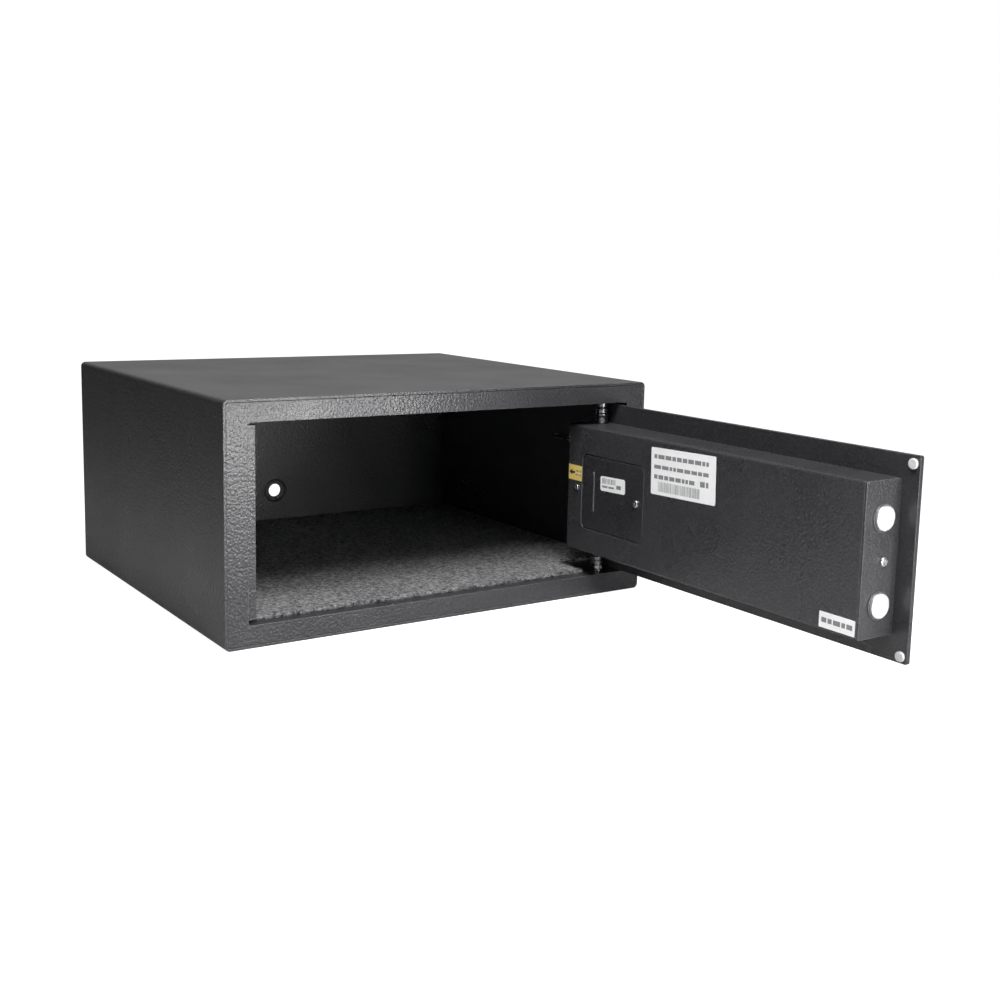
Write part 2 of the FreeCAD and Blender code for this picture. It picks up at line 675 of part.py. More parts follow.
def battery_contacts():
    """Sprung contact plates at both ends of the cells."""
    plates = []
    for i, z in enumerate(CELL_ZS):
        first = (CONTACT_S0, CONTACT_S0 + CONTACT_T)
        last = (CELL_S1 + 5.6, CELL_S1 + 5.6 + CONTACT_T)
        for end in (first, last):
            plates.append(door_block(end, grow((CELL_N, CELL_N), 6.5), grow((z, z), 6.0)))
        spring_first = i % 2 == 1
        gap = (first[1], CELL_S0) if spring_first else (CELL_S1, last[0])
        spring = coil_spring(gap[1] - gap[0])
        spring.rotate(V(0, 0, 0), Y_AXIS, -90)
        spring.translate(door_point(gap[0], CELL_N, z))
        tab = (CELL_S1, last[0]) if spring_first else (first[1], CELL_S0)
        plates += [spring, pin_along(1.8, tab, CELL_N, z)]
    return Part.makeCompound(plates)


def battery_cover():
    """Flush lid with a low pull rib and one screw hole."""
    s = grow(COVER_S, -COVER_GAP)
    z = grow(COVER_Z, -COVER_GAP)
    lid = door_rounded(s, (CASE_N - CASE_T, CASE_N), z, COVER_R - COVER_GAP)
    rim = [edge for edge in lid.Edges if abs(edge.CenterOfMass.y - (FRONT + CASE_N)) < 0.01]
    lid = lid.makeFillet(COVER_EDGE, rim)
    rib = door_rounded(RIB_S, (CASE_N - 0.5, CASE_N + RIB_RISE), RIB_Z, 1.7)
    crest = [edge for edge in rib.Edges if abs(edge.CenterOfMass.y - (FRONT + CASE_N + RIB_RISE)) < 0.01]
    lid = lid.fuse(rib.makeFillet(0.6, crest))
    return lid.cut(pin_through(M3_R + 0.1, COVER_SCREW[0], (30.0, 50.0), COVER_SCREW[1])).removeSplitter()


def battery_cover_screw():
    s, z = COVER_SCREW
    return pan_screw(3.4, 1.9, M3_R, 12.0, door_point(s, CASE_N, z), Y_AXIS)


def case_screws():
    s, z = CASE_SCREW
    face = pan_screw(2.8, 1.5, M3_R, 8.0, door_point(s, CASE_N, z), Y_AXIS)
    n, z = END_SCREW
    end = pan_screw(3.7, 2.1, M4_R, 8.0, door_point(CASE_REACH, n, z), -X_AXIS)
    return Part.makeCompound([face, end])


def reset_button():
    """Push button in the hinge end of the lock case."""
    stem = pin_along(RESET_R, (-CASE_HEEL - 1.6, 1.0), RESET_N, RESET_Z)
    collar = pin_along(4.4, (-CASE_HEEL + 1.9, -CASE_HEEL + 3.1), RESET_N, RESET_Z)
    return stem.fuse(collar).removeSplitter()


def bumper_pads():
    """Round pads on the free edge's inner corners."""
    pads = []
    for z in BUMPER_Z:
        pad = pin_through(BUMPER_R, DOOR_REACH - BUMPER_INSET, (DOOR_T, DOOR_T + BUMPER_T), z)
        rims = [e for e in pad.Edges if isinstance(e.Curve, Part.Circle) and e.CenterOfMass.y > FRONT + 4.5]
        pads.append(pad.makeFillet(0.8, rims))
    return Part.makeCompound(pads)


def hinge_pins():
    """Door pins that reach from inside the lock case into the body's bushes."""
    return Part.makeCompound([pin_upright(PIN_R, PIN_UPPER_Z), pin_upright(PIN_R, PIN_LOWER_Z)])


def hinge_collars():
    """Clamp collars on the pins, above and below the lock case."""
    low, groove, high = LOWER_COLLAR_Z
    lower = ring(RING_R, PIN_R, (low, groove)).fuse(ring(RING_R, PIN_R, (groove, high)))
    upper = ring(RING_R, PIN_R, (CASE_Z1, UPPER_COLLAR_TOP))
    collars = [ring(SPACER_R, PIN_R, (high + 0.1, CASE_Z0), 0.3)]
    for collar, z, turn in zip((lower, upper), SET_SCREW_Z, SET_SCREW_TURN):
        way = set_screw_way(turn)
        hole = Part.makeCylinder(SET_SCREW_R, RING_R + 2.0, door_point(0, HINGE_N, z), way)
        collars.append(collar.cut(hole))
    return Part.makeCompound(collars)


def set_screw_way(turn):
    """Direction that a set screw faces on the closed door."""
    angle = math.radians(turn - OPEN_ANGLE)
    return V(math.cos(angle), math.sin(angle), 0)


def hinge_set_screws():
    screws = []
    for z, turn in zip(SET_SCREW_Z, SET_SCREW_TURN):
        way = set_screw_way(turn)
        axis = door_point(0, HINGE_N, z)
        screw = Part.makeCylinder(SET_SCREW_R, SET_SCREW_FACE - PIN_R, axis + way * PIN_R, way)
        face = SET_SCREW_FACE - 0.1
        rims = [edge for edge in screw.Edges if edge.CenterOfMass.sub(axis).dot(way) > face]
        screw = screw.makeChamfer(0.35, rims)
        socket = Part.makeCylinder(SET_SCREW_SOCKET, 2.0, axis + way * (SET_SCREW_FACE - 1.3), way)
        screws.append(screw.cut(socket))
    return Part.makeCompound(screws)


# Control panel ----------------------------------------------------------------

def key_places():
    for row, z in zip(KEY_NAMES, KEY_Z):
        for name, s in zip(row, KEY_S):
            yield name, s, z


def key_limits(s, z, extra):
    half_s = KEY_SIZE[0] / 2 + extra
    half_z = KEY_SIZE[1] / 2 + extra
    return (s - half_s, s + half_s), (z - half_z, z + half_z)


def keypad_bezel():
    """Moulded panel with pockets for the keys, the display and the key cylinder."""
    shell = door_rounded(BEZEL_S, (BEZEL_N, 0), BEZEL_Z, 9.0)
    rim = []
    for edge in shell.Edges:
        if abs(edge.CenterOfMass.y - (FRONT + BEZEL_N)) < 0.01:
            rim.append(edge)
    shell = shell.makeFillet(1.6, rim)
    hollow = door_rounded(grow(BEZEL_S, -BEZEL_T), (BEZEL_N + BEZEL_T, 1), grow(BEZEL_Z, -BEZEL_T), 7.0)
    shell = shell.cut(hollow)
    face = (BEZEL_N - 1, BEZEL_N + BEZEL_T + 1)
    for name, s, z in key_places():
        key_s, key_z = key_limits(s, z, KEY_GAP)
        shell = shell.cut(door_rounded(key_s, face, key_z, 2.2))
    shell = shell.cut(door_rounded(DISPLAY_S, face, DISPLAY_Z, 3.0))
    shell = shell.cut(pin_through(CYLINDER_R + 0.1, CYLINDER_S, face, CYLINDER_Z))
    shell = shell.cut(pin_through(LED_R, LED_S, face, LED_Z))
    for s, z in BEZEL_SCREWS:
        boss = pin_through(3.5, s, (BEZEL_N + 1.0, 0), z).cut(pin_through(1.3, s, (-6.0, 1.0), z))
        shell = shell.fuse(boss)
    pivot = pin_through(2.0, CYLINDER_S, (-12.2, BEZEL_N + 0.5), COVER_PIVOT_Z)
    return shell.fuse(pivot).removeSplitter()


def bezel_screws():
    return Part.makeCompound([
        pan_screw(3.0, 1.8, 1.3, 9.0, door_point(s, DOOR_T, z), Y_AXIS) for s, z in BEZEL_SCREWS
    ])


def display_window():
    return door_rounded(DISPLAY_S, (BEZEL_N - 0.1, BEZEL_N + 1.6), DISPLAY_Z, 3.0)


def status_led():
    stem = pin_through(LED_R, LED_S, (BEZEL_N, BEZEL_N + 4.0), LED_Z)
    dome = Part.makeSphere(LED_R, door_point(LED_S, BEZEL_N, LED_Z))
    keep = door_block(grow((LED_S, LED_S), 4.0), (BEZEL_N - 0.7, BEZEL_N + 0.1), grow((LED_Z, LED_Z), 3.0))
    return stem.fuse(dome.common(keep)).removeSplitter()


def key_mat():
    """Rubber return mat under the keys."""
    return door_rounded((205.0, 282.0), (-4.0, -3.2), (76.0, 134.0), 3.0)


def keypad_board():
    board = door_rounded((113.0, 283.0), (-3.0, -1.4), (68.0, 138.0), 2.0)
    return board.cut(pin_through(CYLINDER_R + 0.6, CYLINDER_S, (-4, 0), CYLINDER_Z))


def panel_key(s, z):
    """Key cap with the flange that keeps it behind the panel."""
    cap_s, cap_z = key_limits(s, z, 0.0)
    flange_s, flange_z = key_limits(s, z, 1.2)
    cap = door_rounded(cap_s, (KEY_TOP, -5.6), cap_z, 2.0)
    top = [edge for edge in cap.Edges if abs(edge.CenterOfMass.y - (FRONT + KEY_TOP)) < 0.01]
    cap = cap.makeFillet(0.5, top)
    flange = door_rounded(flange_s, (-6.7, -5.6), flange_z, 1.5)
    return cap.fuse(flange).removeSplitter()


def lock_cylinder_body():
    body = pin_through(CYLINDER_R, CYLINDER_S, (BEZEL_N - 0.2, 14.0), CYLINDER_Z)
    body = body.fuse(pin_through(10.6, CYLINDER_S, (BEZEL_N - 1.2, BEZEL_N), CYLINDER_Z))
    return body.cut(pin_through(ROTOR_R + 0.05, CYLINDER_S, (-15, 15), CYLINDER_Z)).removeSplitter()


def lock_rotor():
    """Turning plug with its keyway."""
    plug = pin_through(ROTOR_R, CYLINDER_S, (BEZEL_N - 1.1, ROTOR_END), CYLINDER_Z)
    slot_s = grow((CYLINDER_S, CYLINDER_S), 1.1)
    keyway = door_block(slot_s, (-15, 4.0), grow((CYLINDER_Z, CYLINDER_Z), 4.2))
    return plug.cut(keyway)


def lock_cam():
    """Arm on the plug's inner end that throws the bolt work by hand."""
    hub = pin_through(7.0, CYLINDER_S, (ROTOR_END, ROTOR_END + 2.5), CYLINDER_Z)
    arm_s = grow((CYLINDER_S, CYLINDER_S), 4.0)
    arm = door_rounded(arm_s, (ROTOR_END, ROTOR_END + 2.5), (CYLINDER_Z - 18.0, CYLINDER_Z), 1.5)
    return hub.fuse(arm).removeSplitter()


def cylinder_nut():
    centre = door_point(CYLINDER_S, DOOR_T, CYLINDER_Z)
    corners = []
    for i in range(7):
        angle = math.radians(60 * i)
        corners.append(centre + V(13.5 * math.cos(angle), 0, 13.5 * math.sin(angle)))
    nut = Part.Face(Part.makePolygon(corners)).extrude(V(0, 4.0, 0))
    return nut.cut(pin_through(CYLINDER_R, CYLINDER_S, (0, 10), CYLINDER_Z))


def key_cover():
    """Swinging cap that hides the key cylinder."""
    n = (-12.6, -10.5)
    disc = pin_through(13.0, CYLINDER_S, n, CYLINDER_Z)
    neck = door_block((CYLINDER_S - 4.5, CYLINDER_S + 4.5), n, (CYLINDER_Z, COVER_PIVOT_Z))
    boss = pin_through(4.5, CYLINDER_S, n, COVER_PIVOT_Z)
    hole = pin_through(2.05, CYLINDER_S, (-13, -10), COVER_PIVOT_Z)
    return disc.fuse([neck, boss]).cut(hole).removeSplitter()


def main():
    os.makedirs("parts", exist_ok=True)
    for piece in (
        body_wrap, back_panel, front_frame, latch_stop_strip, floor_deck, carpet_mat,
        hinge_blocks, hinge_bushes, hinge_washers, wall_clip,
    ):
        save(piece.__name__, piece())
    for piece in (
        door_plate, lock_case_cover, latch_end_plate, case_mounts, bolt_bushes, bolt_carriage,
        guide_posts, drive_pinion, gear_motor, motor_bracket, micro_switches, circuit_board,
        board_standoffs, battery_holder, batteries, battery_contacts, battery_cover,
        battery_cover_screw, case_screws, reset_button, bumper_pads, hinge_pins, hinge_collars,
        hinge_set_screws, keypad_bezel, bezel_screws, display_window, status_led, key_mat,
        keypad_board, lock_cylinder_body, lock_rotor, lock_cam, cylinder_nut, key_cover,
    ):
        save_door(piece.__name__, piece())
    for side, z in zip(("lower", "upper"), BOLT_Z):
        save_door("locking_bolt_" + side, locking_bolt(z))
    for name, s, z in key_places():
        save_door("key_" + name, panel_key(s, z))


main()
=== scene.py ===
import json
import math
import random

import bpy
import numpy as np
from mathutils import Matrix, Vector, noise


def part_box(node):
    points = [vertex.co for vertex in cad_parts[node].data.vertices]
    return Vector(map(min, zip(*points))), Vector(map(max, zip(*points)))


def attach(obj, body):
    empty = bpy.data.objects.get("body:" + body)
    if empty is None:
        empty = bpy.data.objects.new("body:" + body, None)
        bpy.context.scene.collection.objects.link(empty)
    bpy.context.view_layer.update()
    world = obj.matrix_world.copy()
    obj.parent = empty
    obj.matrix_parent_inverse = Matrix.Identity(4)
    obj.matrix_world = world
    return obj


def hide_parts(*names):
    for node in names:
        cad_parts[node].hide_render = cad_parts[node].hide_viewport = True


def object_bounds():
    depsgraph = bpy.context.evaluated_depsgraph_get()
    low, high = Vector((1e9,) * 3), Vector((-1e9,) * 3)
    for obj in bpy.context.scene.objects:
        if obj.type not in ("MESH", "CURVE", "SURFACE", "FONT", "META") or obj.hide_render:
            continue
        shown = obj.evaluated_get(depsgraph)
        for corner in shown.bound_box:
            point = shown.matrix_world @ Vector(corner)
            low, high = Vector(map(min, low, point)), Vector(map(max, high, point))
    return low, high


# Looks of the hotel room safe, in metres, in the CAD model's own frame.

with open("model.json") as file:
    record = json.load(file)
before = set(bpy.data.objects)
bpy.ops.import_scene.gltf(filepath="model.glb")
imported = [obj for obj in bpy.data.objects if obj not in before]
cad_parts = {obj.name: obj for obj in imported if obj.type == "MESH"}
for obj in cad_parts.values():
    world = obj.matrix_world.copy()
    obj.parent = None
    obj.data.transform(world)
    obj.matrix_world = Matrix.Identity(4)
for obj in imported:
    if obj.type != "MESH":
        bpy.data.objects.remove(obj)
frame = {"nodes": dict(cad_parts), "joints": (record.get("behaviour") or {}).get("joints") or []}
CAD_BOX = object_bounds()
MM = 0.001

HINGE = next(joint for joint in frame["joints"] if joint["name"] == "door_hinge")["pos_m"]
CASE_FACE_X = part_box("lock_case_cover")[0].x
MAT_LOW, MAT_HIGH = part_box("carpet_mat")

# Camera: place, direction and lens
CAMERA_AT = Vector((-0.58600, -1.12640, 0.31376))
CAMERA_YAW = 0.61075
CAMERA_PITCH = 0.14846
CAMERA_ROLL = 0.02556
LENS = 46.736
SHIFT = (-0.02473, -0.04828)


# Node helpers -------------------------------------------------------------------

def new_material(name):
    material = bpy.data.materials.new(name)
    material.use_nodes = True
    return material, material.node_tree, material.node_tree.nodes["Principled BSDF"]


def add(tree, kind, inputs=None, **settings):
    """Adds a node; an input is a plain value or the socket that feeds it."""
    node = tree.nodes.new(kind)
    for name, value in settings.items():
        setattr(node, name, value)
    for name, value in (inputs or {}).items():
        if isinstance(value, bpy.types.NodeSocket):
            tree.links.new(value, node.inputs[name])
        else:
            node.inputs[name].default_value = value
    return node


def place(tree):
    """The point on the object, in metres."""
    return add(tree, "ShaderNodeTexCoord").outputs["Object"]


def grain(tree, scale, detail=2.0, roughness=0.5, vector=None):
    return add(tree, "ShaderNodeTexNoise", {
        "Vector": vector or place(tree), "Scale": scale, "Detail": detail, "Roughness": roughness,
    }).outputs["Fac"]


def cells(tree, scale):
    return add(tree, "ShaderNodeTexVoronoi", {
        "Vector": place(tree), "Scale": scale, "Smoothness": 0.6,
    }, feature="SMOOTH_F1").outputs["Distance"]


def span(tree, value, low, high, to_low=0.0, to_high=1.0):
    """Maps a value's range onto another, clamped."""
    return add(tree, "ShaderNodeMapRange", {
        "Value": value, "From Min": low, "From Max": high, "To Min": to_low, "To Max": to_high,
    }).outputs["Result"]


def math_node(tree, operation, first, second):
    node = tree.nodes.new("ShaderNodeMath")
    node.operation = operation
    for socket, value in zip(node.inputs, (first, second)):
        if isinstance(value, bpy.types.NodeSocket):
            tree.links.new(value, socket)
        else:
            socket.default_value = value
    return node.outputs[0]


def blend_colors(tree, factor, first, second):
    node = tree.nodes.new("ShaderNodeMix")
    node.data_type = "RGBA"
    for index, value in ((0, factor), (6, first), (7, second)):
        socket = node.inputs[index]
        if isinstance(value, bpy.types.NodeSocket):
            tree.links.new(value, socket)
        elif isinstance(value, (int, float)):
            socket.default_value = value
        else:
            socket.default_value = (*value, 1.0)
    return node.outputs[2]


def dimmed(shade, factor):
    return [c * factor for c in shade]


def soft_edge(tree, radius):
    """Normal with rounded edges."""
    return add(tree, "ShaderNodeBevel", {"Radius": radius}, samples=4).outputs["Normal"]


def edge_mask(tree, rounded_normal):
    """1 on edges, 0 on flat faces."""
    true_normal = add(tree, "ShaderNodeNewGeometry").outputs["Normal"]
    dot = tree.nodes.new("ShaderNodeVectorMath")
    dot.operation = "DOT_PRODUCT"
    tree.links.new(rounded_normal, dot.inputs[0])
    tree.links.new(true_normal, dot.inputs[1])
    return span(tree, dot.outputs["Value"], 0.995, 0.86)


def bump(tree, shader, height, strength, distance, normal=None):
    inputs = {"Height": height, "Strength": strength, "Distance": distance}
    if normal is not None:
        inputs["Normal"] = normal
    node = add(tree, "ShaderNodeBump", inputs)
    tree.links.new(node.outputs["Normal"], shader.inputs["Normal"])


def feed(tree, shader, **sockets):
    for name, value in sockets.items():
        socket = shader.inputs[name.replace("_", " ")]
        if isinstance(value, bpy.types.NodeSocket):
            tree.links.new(value, socket)
        else:
            socket.default_value = value


# Materials ----------------------------------------------------------------------

# The powder coat's pattern sizes, and the shades of its parts against the paint's own; the darker pits are
# painted shade, and the lighter edges are partly wear and partly a painted highlight
CLOUD_SCALE = 14.0
PEBBLE_SCALE = 560.0
CELL_SCALE = 430.0
SPECKLE_SCALE = 800.0
PIT_PAINTED_SHADE = 0.35
SPECKLE_SHADE = 2.6
EDGE_WEAR_AND_HIGHLIGHT = 5.0


def powder_coat(name, shade, rough, texture):
    """Pebbled powder coat with faint clouding, painted shade in its pits, and lighter edges that are partly
    wear and partly a painted highlight.
    """
    material, tree, shader = new_material(name)
    rounded = soft_edge(tree, 0.9 * MM)
    lightened_edges = math_node(tree, "MULTIPLY", edge_mask(tree, rounded),
                     span(tree, grain(tree, 60.0), 0.2, 0.6, 0.4, 1.0))
    clouds = grain(tree, CLOUD_SCALE, 4.0)
    speckle = grain(tree, SPECKLE_SCALE, 1.0)
    pebbles = math_node(tree, "SUBTRACT", grain(tree, PEBBLE_SCALE), cells(tree, CELL_SCALE))
    base = blend_colors(tree, span(tree, clouds, 0.3, 0.7), dimmed(shade, 0.9), dimmed(shade, 1.12))
    # Darker pits between the pebbles: painted shade.
    base = blend_colors(tree, span(tree, pebbles, -0.05, 0.4, 0.4, 0.0), base, dimmed(shade, PIT_PAINTED_SHADE))
    base = blend_colors(tree, span(tree, speckle, 0.6, 0.78, 0.0, 0.5), base, dimmed(shade, SPECKLE_SHADE))
    # Lighter edges: partly wear, partly a painted highlight along every edge.
    base = blend_colors(tree, math_node(tree, "MULTIPLY", lightened_edges, 0.75), base, dimmed(shade, EDGE_WEAR_AND_HIGHLIGHT))
    bump(tree, shader, pebbles, texture, 0.45 * MM, rounded)
    roughness = math_node(tree, "SUBTRACT", span(tree, clouds, 0.2, 0.8, rough - 0.05, rough + 0.06),
                          math_node(tree, "MULTIPLY", lightened_edges, 0.12))
    feed(tree, shader, Base_Color=base, Roughness=roughness)
    return material


def metal(name, shade, rough, lines=None, scratch=0.15, spots=0.0):
    """Bare or plated metal, with turning lines along one axis if asked; its stains are spots darker."""
    material, tree, shader = new_material(name)
    vector = place(tree)
    if lines is not None:
        stretch = add(tree, "ShaderNodeMapping", {"Vector": vector, "Scale": lines})
        vector = stretch.outputs["Vector"]
    fine = grain(tree, 420.0, 4.0, 0.65, vector)
    stain = grain(tree, 60.0, 5.0, 0.6)
    base = blend_colors(tree, span(tree, stain, 0.3, 0.75), shade, dimmed(shade, 0.8 - spots))
    bump(tree, shader, fine, scratch, 0.05 * MM, soft_edge(tree, 0.25 * MM))
    feed(tree, shader, Base_Color=base, Metallic=1.0,
         Roughness=span(tree, fine, 0.25, 0.8, rough * 0.75, rough * 1.35))
    return material


def plastic(name, shade, rough, texture, scale=900.0, coat=0.0):
    """Moulded plastic or rubber with a fine spark-eroded grain."""
    material, tree, shader = new_material(name)
    rounded = soft_edge(tree, 0.3 * MM)
    clouds = grain(tree, 45.0, 3.0)
    fine = grain(tree, scale, 3.0, 0.6)
    lightened_edges = math_node(tree, "MULTIPLY", edge_mask(tree, rounded), span(tree, grain(tree, 200.0), 0.4, 0.7))
    base = blend_colors(tree, span(tree, clouds, 0.3, 0.7), dimmed(shade, 0.9), dimmed(shade, 1.1))
    base = blend_colors(tree, math_node(tree, "MULTIPLY", lightened_edges, 0.3), base, [c * 1.5 + 0.03 for c in shade])
    bump(tree, shader, fine, texture, 0.08 * MM, rounded)
    feed(tree, shader, Base_Color=base, Roughness=span(tree, fine, 0.2, 0.8, rough * 0.85, rough * 1.15),
         Coat_Weight=coat)
    return material


def felt(name):
    """Needle-punched felt: matted fibres in mixed greys."""
    material, tree, shader = new_material(name)
    where = place(tree)
    warp = grain(tree, 90.0, 2.0, 0.5, where)
    tufts = grain(tree, 330.0, 3.0, 0.7, where)
    fibres = grain(tree, 1300.0, 4.0, 0.8, where)
    mix = math_node(tree, "ADD", math_node(tree, "MULTIPLY", tufts, 0.6),
                    math_node(tree, "MULTIPLY", fibres, 0.4))
    base = blend_colors(tree, span(tree, mix, 0.42, 0.6), FELT_DARK, FELT_LIGHT)
    base = blend_colors(tree, span(tree, warp, 0.35, 0.75, 0.0, 0.35), base, FELT_DARK)
    bump(tree, shader, mix, 1.0, 1.4 * MM)
    feed(tree, shader, Base_Color=base, Roughness=span(tree, fibres, 0.2, 0.8, 0.85, 1.0),
         Sheen_Weight=0.15, Sheen_Roughness=0.5, Specular_IOR_Level=0.2)
    return material


def paper(name, shade):
    """Label stock with a faint fibre and a little dirt."""
    material, tree, shader = new_material(name)
    pulp = grain(tree, 700.0, 4.0, 0.6)
    dirt = grain(tree, 70.0, 4.0)
    base = blend_colors(tree, span(tree, dirt, 0.45, 0.8, 0.0, 0.35), shade, dimmed(shade, 0.82))
    bump(tree, shader, pulp, 0.1, 0.03 * MM)
    feed(tree, shader, Base_Color=base, Roughness=span(tree, pulp, 0.2, 0.8, 0.49, 0.61))
    return material


def ink(name, shade):
    """Printed ink with thin, slightly broken cover."""
    material, tree, shader = new_material(name)
    break_up = grain(tree, 1800.0, 3.0, 0.7)
    thin = [min(1.0, c * 1.6 + 0.1) for c in shade]
    base = blend_colors(tree, span(tree, break_up, 0.55, 0.8), shade, thin)
    feed(tree, shader, Base_Color=base, Roughness=span(tree, break_up, 0.2, 0.8, 0.5, 0.7))
    return material


def board(name):
    """Green solder mask with copper tracks under it."""
    material, tree, shader = new_material(name)
    tracks = add(tree, "ShaderNodeTexBrick", {
        "Vector": place(tree), "Scale": 260.0, "Mortar Size": 0.06,
    }).outputs["Fac"]
    fine = grain(tree, 500.0, 3.0)
    base = blend_colors(tree, tracks, (0.012, 0.09, 0.04), (0.03, 0.17, 0.07))
    bump(tree, shader, math_node(tree, "ADD", tracks, fine), 0.2, 0.05 * MM, soft_edge(tree, 0.2 * MM))
    feed(tree, shader, Base_Color=base, Roughness=span(tree, fine, 0.2, 0.8, 0.3, 0.45))
    return material


def tinted_window(name):
    """Dark acrylic with light scratches."""
    material, tree, shader = new_material(name)
    scratches = grain(tree, 260.0, 5.0, 0.7)
    base = blend_colors(tree, span(tree, scratches, 0.3, 0.8), (0.012, 0.008, 0.012), (0.03, 0.02, 0.026))
    bump(tree, shader, scratches, 0.04, 0.03 * MM, soft_edge(tree, 0.3 * MM))
    feed(tree, shader, Base_Color=base, Roughness=span(tree, scratches, 0.5, 0.8, 0.05, 0.16),
         Coat_Weight=0.6)
    return material


def lens(name, shade):
    """Clear tinted plastic with a light haze."""
    material, tree, shader = new_material(name)
    haze = grain(tree, 300.0, 3.0)
    base = blend_colors(tree, span(tree, haze, 0.3, 0.7), shade, dimmed(shade, 0.7))
    bump(tree, shader, haze, 0.05, 0.03 * MM)
    feed(tree, shader, Base_Color=base, Roughness=span(tree, haze, 0.2, 0.8, 0.12, 0.22), Coat_Weight=0.5)
    return material


FELT_DARK = (0.014, 0.014, 0.015)
FELT_LIGHT = (0.33, 0.33, 0.335)
PAINT = (0.040, 0.040, 0.043)

COAT = powder_coat("shell_paint", PAINT, 0.3, 0.42)
DOOR_COAT = powder_coat("door_paint", dimmed(PAINT, 0.9), 0.28, 0.4)
CASE_COAT = powder_coat("case_paint", dimmed(PAINT, 1.15), 0.28, 0.5)
LID_COAT = powder_coat("lid_paint", dimmed(PAINT, 0.85), 0.28, 0.5)
ZINC = metal("zinc_plate", (0.78, 0.78, 0.79), 0.28)
CHROME = metal("bolt_chrome", (0.96, 0.96, 0.97), 0.42, scratch=0.03, spots=-0.16)
TURNED = metal("turned_steel", (0.42, 0.42, 0.43), 0.24, (0.2, 0.2, 3.0), spots=0.15)
COLLAR = metal("blackened_steel", (0.2, 0.2, 0.21), 0.3, (0.2, 0.2, 3.0), spots=0.1)
BRASS = metal("brass", (0.72, 0.53, 0.24), 0.28)
NICKEL = metal("nickel_brass", (0.66, 0.6, 0.47), 0.24)
BLACK = plastic("black_moulding", (0.02, 0.02, 0.021), 0.5, 0.35)
BEZEL = plastic("panel_moulding", (0.014, 0.014, 0.015), 0.34, 0.25, 1100.0, 0.15)
KEY = plastic("key_moulding", (0.16, 0.165, 0.17), 0.45, 0.25)
PAD = plastic("pad_rubber", (0.52, 0.52, 0.525), 0.6, 0.3, 1300.0)
RUBBER = plastic("mat_rubber", (0.32, 0.32, 0.34), 0.7, 0.3)
RED = plastic("button_red", (0.45, 0.03, 0.025), 0.38, 0.2)
CELL = plastic("cell_sleeve", (0.05, 0.06, 0.09), 0.3, 0.1)
BOARD = board("control_board")
WINDOW = tinted_window("display_window")
LAMP = lens("status_lens", (0.08, 0.5, 0.16))
FELT = felt("mat_felt")
WHITE_PAPER = paper("label_paper", (0.93, 0.93, 0.93))
YELLOW_PAPER = paper("sticker_paper", (0.78, 0.58, 0.16))
GREY_INK = ink("grey_ink", (0.22, 0.22, 0.23))
BLACK_INK = ink("black_ink", (0.02, 0.02, 0.02))
WHITE_INK = ink("legend_ink", (0.8, 0.8, 0.8))

FINISHES = {
    COAT: ("body_wrap", "back_panel", "front_frame", "latch_stop_strip", "floor_deck", "hinge_blocks"),
    DOOR_COAT: ("door_plate",),
    CASE_COAT: ("lock_case_cover", "latch_end_plate", "bolt_bushes"),
    LID_COAT: ("battery_cover",),
    ZINC: ("wall_clip", "case_mounts", "bolt_carriage", "guide_posts", "motor_bracket",
           "battery_contacts", "case_screws", "hinge_set_screws", "bezel_screws", "battery_cover_screw",
           "board_standoffs", "lock_cam", "cylinder_nut", "gear_motor"),
    CHROME: ("locking_bolt_upper", "locking_bolt_lower"),
    TURNED: ("hinge_washers", "hinge_bushes"),
    COLLAR: ("hinge_collars", "hinge_pins"),
    BRASS: ("drive_pinion",),
    NICKEL: ("lock_cylinder_body", "lock_rotor"),
    BLACK: ("micro_switches", "battery_holder"),
    BEZEL: ("keypad_bezel", "key_cover"),
    KEY: tuple(sorted(
        name for name in frame["nodes"]
        if name.startswith("key_") and name not in ("key_cover", "key_mat")
    )),
    PAD: ("bumper_pads",),
    RUBBER: ("key_mat",),
    RED: ("reset_button",),
    CELL: ("batteries",),
    BOARD: ("circuit_board", "keypad_board"),
    WINDOW: ("display_window",),
    LAMP: ("status_led",),
    FELT: ("carpet_mat",),
}


def finish_nodes():
    for material, names in FINISHES.items():
        for name in names:
            node = frame["nodes"][name]
            node.data.materials.clear()
            node.data.materials.append(material)


# Meshes -------------------------------------------------------------------------

def mesh_object(name, points, faces, material):
    mesh = bpy.data.meshes.new(name)
    mesh.from_pydata([tuple(p) for p in points], [], faces)
    mesh.validate()
    mesh.update()
    piece = bpy.data.objects.new(name, mesh)
    bpy.context.scene.collection.objects.link(piece)
    mesh.materials.append(material)
    return piece


def rounded_outline(width, height, radius, steps=5):
    """Corner points of a rounded rectangle about the origin, anticlockwise."""
    points = []
    for index, (x, y) in enumerate(((1, 1), (-1, 1), (-1, -1), (1, -1))):
        for step in range(steps + 1):
            turn = math.pi / 2 * (index + step / steps)
            points.append((
                x * (width / 2 - radius) + radius * math.cos(turn),
                y * (height / 2 - radius) + radius * math.sin(turn),
            ))
    return points


def flat_solid(outlines, thickness, lift=0.0):
    """Points and faces of flat closed solids, one per outline."""
    points, faces = [], []
    for outline in outlines:
        start = len(points)
        count = len(outline)
        points += [(x, y, lift) for x, y in outline] + [(x, y, lift + thickness) for x, y in outline]
        faces.append(tuple(range(start + count - 1, start - 1, -1)))
        faces.append(tuple(range(start + count, start + 2 * count)))
        for i in range(count):
            j = (i + 1) % count
            faces.append((start + i, start + j, start + count + j, start + count + i))
    return points, faces


def on_case(s, z, tilt=0.0):
    """Matrix that puts a flat piece on the lock case, s metres from the hinge axis towards the free edge."""
    axes = Matrix(((0, 0, -1), (-1, 0, 0), (0, 1, 0))).to_4x4()
    at = Matrix.Translation((CASE_FACE_X, HINGE[1] - s, z))
    return at @ axes @ Matrix.Rotation(tilt, 4, "Z")


LABEL_T = 0.12 * MM
INK_T = 0.02 * MM


